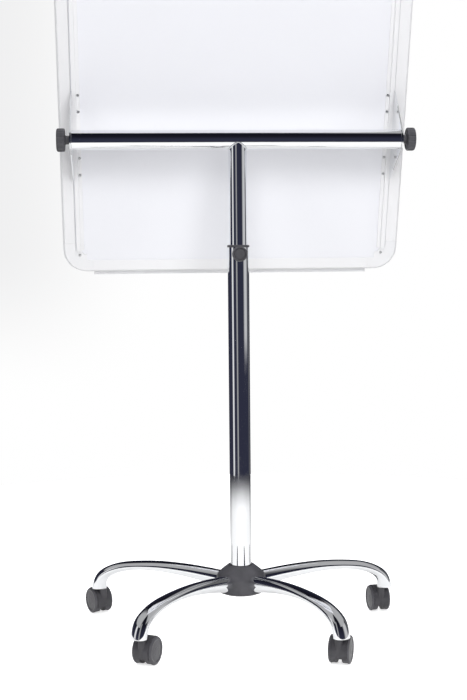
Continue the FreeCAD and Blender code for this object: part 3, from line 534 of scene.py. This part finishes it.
def post():
    low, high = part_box("lower_post")
    turned("lower_post_tube", tube_outline(POST_RADIUS, TUBE_WALL, low.z, high.z), ["lower_post"],
           segments=128, closed=True)
    rim_low, rim_high = high.z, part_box("post_collar")[1].z
    sleeve_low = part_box("post_collar")[0].z
    bore, sleeve, rim = 0.01805, 0.019, 0.0219
    turned("post_collar_ring", [
        (bore, sleeve_low), (sleeve, sleeve_low), (sleeve, rim_low), (rim, rim_low), (rim, rim_high - 0.0012),
        (rim - 0.0012, rim_high), (bore, rim_high)], ["post_collar"], closed=True, edge=0.0008)
    clamp_knob()


def clamp_knob():
    """Round grip with a raised rim, a ring groove and a slightly domed centre."""
    height = JOINTS["clamp_knob_turn"]["pos_m"][2]
    place = Matrix.Translation((0, 0, height)) @ Matrix.Rotation(math.radians(-90), 4, "X")
    inside, outside = 0.0276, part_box("clamp_knob")[1].y
    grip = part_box("clamp_knob")[1].x
    outline = [(0, inside), (grip * 0.62, inside), (grip * 0.8, inside + 0.001),
               (grip - 0.0004, inside + 0.003), (grip, inside + 0.006), (grip, outside - 0.003),
               (grip - 0.0009, outside - 0.0008),
               (grip - 0.0022, outside), (grip - 0.0034, outside - 0.0004), (grip - 0.004, outside - 0.0022),
               (grip - 0.0048, outside - 0.0024), (grip - 0.0052, outside - 0.0012),
               (grip * 0.45, outside - 0.0007), (0, outside - 0.0006)]
    ribs = 40

    def knurl(angle, radius, height):
        on_side = inside + 0.004 < height < outside - 0.002 and radius > grip - 0.0005
        return radius - (0.00022 * (1 + math.cos(angle * ribs)) if on_side else 0)
    turned("clamp_knob_grip", outline, ["clamp_knob"], place, segments=240, ripple=knurl, edge=0.0008)


def head():
    """Inner post coped to the crossbar, the crossbar itself, the weld between them and the tilt knobs."""
    bar, tube = 0.019, 0.018
    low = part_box("upper_post")[0].z
    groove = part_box("glide_ring")
    segments = 128

    def saddle(radius):
        return [Vector((radius * math.cos(a), radius * math.sin(a),
                        PIVOT_Z - math.sqrt(bar ** 2 - min(radius * math.sin(a), bar * 0.999) ** 2)))
                for a in angles(segments)]
    gap, groove_deep = 0.0004, 0.001
    bore, groove_radius = tube - TUBE_WALL, tube - groove_deep
    outline = [(bore, low), (tube, low), (tube, groove[0].z - gap), (groove_radius, groove[0].z - gap),
               (groove_radius, groove[1].z + gap), (tube, groove[1].z + gap)]
    rings = lathe(rounded(outline, 0.0003), segments)
    vertices, faces = bridge(rings + [saddle(tube), saddle(bore)])
    piece("upper_post_tube", vertices, faces, ["upper_post"])
    outside = 0.0004
    toe = [p + Vector((p.x, p.y, 0)).normalized() * outside for p in saddle(tube)]
    weld_bead("tee_weld", toe, "upper_post")

    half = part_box("crossbar")[1].x
    place = x_axis_frame((0, 0, PIVOT_Z), 1)
    turned("crossbar_tube", tube_outline(bar, TUBE_WALL, -half, half), ["crossbar"], place, segments=128,
           closed=True)
    for side, sign in SIDES.items():
        tilt_knob(side, sign)


def tilt_knob(side, sign):
    """Fluted grip on a neck, with a shallow dish and a centre cap in its face."""
    low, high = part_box("tilt_knob_" + side)
    near, far = (low.x, high.x) if sign > 0 else (-high.x, -low.x)
    grip = high.y
    step = near + 0.0085
    outline = [(0, near), (0.0078, near), (0.0082, near + 0.0005), (0.0082, step - 0.002), (0.0102, step),
               (grip - 0.0028, step), (grip - 0.0008, step + 0.0009), (grip, step + 0.0028),
               (grip, far - 0.0034), (grip - 0.0009, far - 0.0012), (grip - 0.0032, far),
               (grip - 0.0056, far - 0.0003), (grip - 0.0066, far - 0.0013), (0.0075, far - 0.0013),
               (0.0071, far - 0.0008), (0, far - 0.0006)]
    flutes = 14

    def fluted(angle, radius, height):
        hollow = max(0.0, math.cos(angle * flutes)) ** 3
        on_side = min(1.0, max(0.0, (radius - grip * 0.8) / (grip * 0.2)))
        return radius - 0.0011 * hollow * on_side
    turned("tilt_knob_%s_grip" % side, outline, ["tilt_knob_" + side], x_axis_frame((0, 0, PIVOT_Z), sign),
           segments=280, ripple=fluted, edge=0.0008, sharp=50)


# ---- board ------------------------------------------------------------------------------------

def screw_head():
    """Rings of a pan head with a cross recess, its underside at z = 0."""
    cross, reach, radius, high = 0.00045, 0.0017, 0.0029, 0.0018
    steps, segments = 14, 64
    edge_drop, recess = 0.45, 0.0009
    rings = lathe([(radius, 0)], segments)
    for i in range(steps + 1):
        r = radius * (1 - i / steps)
        ring = []
        for a in angles(segments):
            x, y = r * math.cos(a), r * math.sin(a)
            dome = high * (1 - (r / radius) ** 6 * edge_drop)
            in_slot = min(abs(x), abs(y)) < cross and r < reach
            ring.append(Vector((x, y, dome - (recess if in_slot else 0))))
        rings.append(ring)
    return rings


def board_screws():
    """Twelve cross-recess screws: two rows at the brackets and one at each corner."""
    rim_back, rail_foot = -0.094, -0.0929
    corner = [(0.316, rim_back, z) for z in (-0.266, 0.660)]
    ear = [(0.3106, rail_foot, z) for z in (0.067, 0.034, -0.060, -0.095)]
    to_back = Matrix.Rotation(math.radians(-90), 4, "X")
    vertices, faces = [], []
    for index, (x, y, z) in enumerate(corner + ear):
        for sign in SIDES.values():
            driven = Matrix.Rotation(0.7 * index + 0.4 * sign, 4, "Z")
            place = Matrix.Translation((x * sign, y, z)) @ to_back @ driven
            points, quads = bridge(screw_head())
            start = len(vertices)
            vertices += [place @ p for p in points]
            faces += [tuple(v + start for v in quad) for quad in quads]
    piece("board_screw_heads", vertices, faces, ["board_screws"], BOARD, sharp=40)


def clamp_springs():
    """Torsion springs wound round the hinge pin."""
    axis_y, axis_z, inner_end = -0.121, 0.672, 0.2708
    wire, coil, turns, length = 0.0005, 0.0036, 11, 0.0165
    per_turn = 24
    steps = turns * per_turn
    for side, sign in SIDES.items():
        start = inner_end if sign > 0 else -inner_end - length
        path = []
        for i in range(steps + 1):
            a = 2 * math.pi * i / per_turn
            path.append(Vector((start + length * i / steps, axis_y + coil * math.cos(a),
                                axis_z + coil * math.sin(a))))
        vertices, faces = bridge(sweep(path, wire, 8))
        piece("clamp_spring_" + side, vertices, faces, ["clamp_springs"], BOARD, sharp=80)


def pad_hook(side):
    """Peg with a rounded tip, on a knurled washer and a foot that sits in its slot."""
    low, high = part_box("pad_hook_" + side)
    slot_face, slot_height = -0.1199, 0.644
    place = (BOARD @ Matrix.Translation(((low.x + high.x) / 2, slot_face, slot_height))
             @ Matrix.Rotation(math.radians(90), 4, "X"))

    def knurl(angle, radius, height):
        return radius - (0.00018 * (1 + math.cos(angle * 36)) if radius > 0.0062 else 0)
    peg, washer, foot = 0.003, 0.007, -0.0048
    outline = [(0, foot), (peg, foot), (peg, 0), (washer, 0), (washer, 0.002), (0.0031, 0.0022), (peg, 0.003),
               (peg, 0.0185), (0.0024, 0.0196), (0, 0.02)]
    turned("pad_hook_%s_peg" % side, outline, ["pad_hook_" + side], place, segments=180, ripple=knurl,
           edge=0.0003)


def board():
    for node, width in (("frame_profiles", 0.0009), ("corner_caps", 0.0009), ("pen_tray", 0.0007),
                        ("clamp_base", 0.0008), ("clamp_bar", 0.0008), ("rail_left", 0.0008),
                        ("rail_right", 0.0008), ("bracket_left", 0.0004), ("bracket_right", 0.0004)):
        soften(node, width)
    board_screws()
    clamp_springs()
    for side in SIDES:
        pad_hook(side)


# ---- studio -----------------------------------------------------------------------------------

EASEL_MIDDLE = Vector((0, 0, 0.95))
PAPER = (0.93, 0.93, 0.935)


def soft_box(name, azimuth, distance, height, width, tall, power):
    """Rectangular lamp that faces the middle of the easel; azimuth is counted from +Y towards +X."""
    a = math.radians(azimuth)
    place = Vector((math.sin(a) * distance, math.cos(a) * distance, height))
    lamp = bpy.data.lights.new(name, "AREA")
    lamp.shape = "RECTANGLE"
    lamp.size = width
    lamp.size_y = tall
    lamp.energy = power
    holder = bpy.data.objects.new(name, lamp)
    holder.location = place
    holder.rotation_euler = (EASEL_MIDDLE - place).to_track_quat("-Z", "Y").to_euler()
    bpy.context.scene.collection.objects.link(holder)
    return holder


def floor():
    """Round sheet of studio paper: evenly pale to the lens, and darker at its rim and front in reflections."""
    radius, fade_start, below_wheels, segments = 1.7, 1.1, -0.0005, 160
    ring = lathe([(radius, below_wheels)], segments)[0]
    mesh = bpy.data.meshes.new("studio_floor")
    mesh.from_pydata([tuple(p) for p in ring], [], [tuple(range(segments))])
    paper = bpy.data.objects.new("studio_floor", mesh)
    bpy.context.scene.collection.objects.link(paper)
    material = new_material("studio_paper", PAPER, roughness=0.85, specular=0.0)
    shader = shader_of(material)
    nodes = NodeMaker(material.node_tree)
    where = nodes.add("ShaderNodeTexCoord").outputs["Object"]
    reach = nodes.add("ShaderNodeVectorMath", operation="LENGTH")
    nodes.link(where, reach.inputs[0])
    split = nodes.add("ShaderNodeSeparateXYZ")
    nodes.link(where, split.inputs[0])
    fade = nodes.times(nodes.ramp(reach.outputs["Value"], fade_start, radius, 1, 0),
                       nodes.ramp(split.outputs[1], -1.0, -0.1, 0.4, 1))
    direct = nodes.add("ShaderNodeLightPath").outputs["Is Camera Ray"]
    nodes.link(nodes.mix(direct, nodes.mix(fade, (0.05, 0.05, 0.06), (0.84, 0.84, 0.83)), PAPER),
               shader.inputs["Base Color"])
    nodes.link(nodes.mix(direct, nodes.mix(fade, (0, 0, 0), (0.12, 0.12, 0.12)), (0.6, 0.6, 0.6)),
               shader.inputs["Emission Color"])
    shader.inputs["Emission Strength"].default_value = 1.0
    mesh.materials.append(material)


def world():
    """Pale backdrop for the lens; in reflections, a dark room with light panels on its walls and ceiling."""
    sky = bpy.data.worlds.new("studio")
    bpy.context.scene.world = sky
    sky.use_nodes = True
    sky.node_tree.nodes.clear()
    nodes = NodeMaker(sky.node_tree)
    split = nodes.add("ShaderNodeSeparateXYZ")
    nodes.link(nodes.add("ShaderNodeTexCoord").outputs["Generated"], split.inputs[0])
    x, y, z = split.outputs
    bearing = nodes.add("ShaderNodeMath", operation="ARCTAN2")
    nodes.link(x, bearing.inputs[0])
    nodes.link(y, bearing.inputs[1])

    def card(room, start, end, soft, bottom, top, glow):
        """Soft-edged bright panel between two bearings, from +Y towards +X, and two heights."""
        angle = bearing.outputs[0]
        across = nodes.times(nodes.ramp(angle, math.radians(start - soft), math.radians(start), 0, 1),
                             nodes.ramp(angle, math.radians(end), math.radians(end + soft), 1, 0))
        upright = nodes.times(nodes.ramp(z, bottom - 0.03, bottom, 0, 1), nodes.ramp(z, top, top + 0.1, 1, 0))
        return nodes.mix(nodes.times(across, upright), room, (glow, glow, glow * 1.01))

    room = nodes.mix(nodes.ramp(z, -0.1, 0.7, 0, 1), (0.03, 0.032, 0.055), (0.008, 0.008, 0.014))
    for panel in ((66, 78, 7, -0.3, 0.75, 0.8), (19, 28, 5, -0.3, 0.7, 0.36),
                  (-84, -64, 20, -0.07, 0.8, 0.58), (-124, -112, 5, -0.3, 0.7, 0.14),
                  (-150, -40, 20, 0.55, 1.0, 0.45), (45, 140, 20, 0.55, 1.0, 0.45)):
        room = card(room, *panel)
    shade = nodes.times(nodes.ramp(x, -0.02, 0.11, 0, 1), nodes.ramp(z, -0.12, 0.0, 0, 1))
    seen = nodes.mix(shade, (1.0, 1.0, 1.0), (0.87, 0.87, 0.875))
    background = nodes.add("ShaderNodeBackground")
    direct = nodes.add("ShaderNodeLightPath").outputs["Is Camera Ray"]
    nodes.link(nodes.mix(direct, room, seen), background.inputs["Color"])
    nodes.link(background.outputs[0], nodes.add("ShaderNodeOutputWorld").inputs[0])


def lights():
    """Broad lamps on both faces of the board, at its two sides and overhead, left out of reflections."""
    for name, azimuth, distance, height, width, tall, power in (
            ("key", -4, 2.6, 1.6, 2.2, 1.7, 58), ("side_right", -62, 2.6, 1.5, 0.9, 1.4, 10),
            ("side_left", 50, 2.8, 1.3, 0.9, 1.6, 9), ("overhead", 20, 0.6, 3.6, 2.6, 2.2, 46),
            ("writing_side", 180, 3.0, 1.9, 2.2, 1.8, 85)):
        soft_box(name, azimuth, distance, height, width, tall, power).visible_glossy = False


def camera():
    """Portrait view of the back of the easel, a little to one side and level with the tray."""
    lens_mm, sensor_mm = 66.0, 36.0
    place = Vector((0.2075, 2.519, 0.7716))
    turn, pitch, roll = math.radians(4.456), math.radians(4.83), math.radians(-0.516)
    forward = Vector((-math.sin(turn) * math.cos(pitch), -math.cos(turn) * math.cos(pitch), -math.sin(pitch)))
    data = bpy.data.cameras.new("camera")
    data.lens = lens_mm
    data.sensor_width = sensor_mm
    data.clip_start, data.clip_end = 0.05, 50
    view = bpy.data.objects.new("camera", data)
    view.location = place
    level = forward.to_track_quat("-Z", "Y").to_matrix()
    view.rotation_euler = (level @ Matrix.Rotation(roll, 3, "Z")).to_euler()
    bpy.context.scene.collection.objects.link(view)
    bpy.context.scene.camera = view


camera()
world()
lights()
floor()
bpy.context.scene.view_settings.view_transform = "Standard"
finish_nodes()
base()
casters()
post()
head()
board()
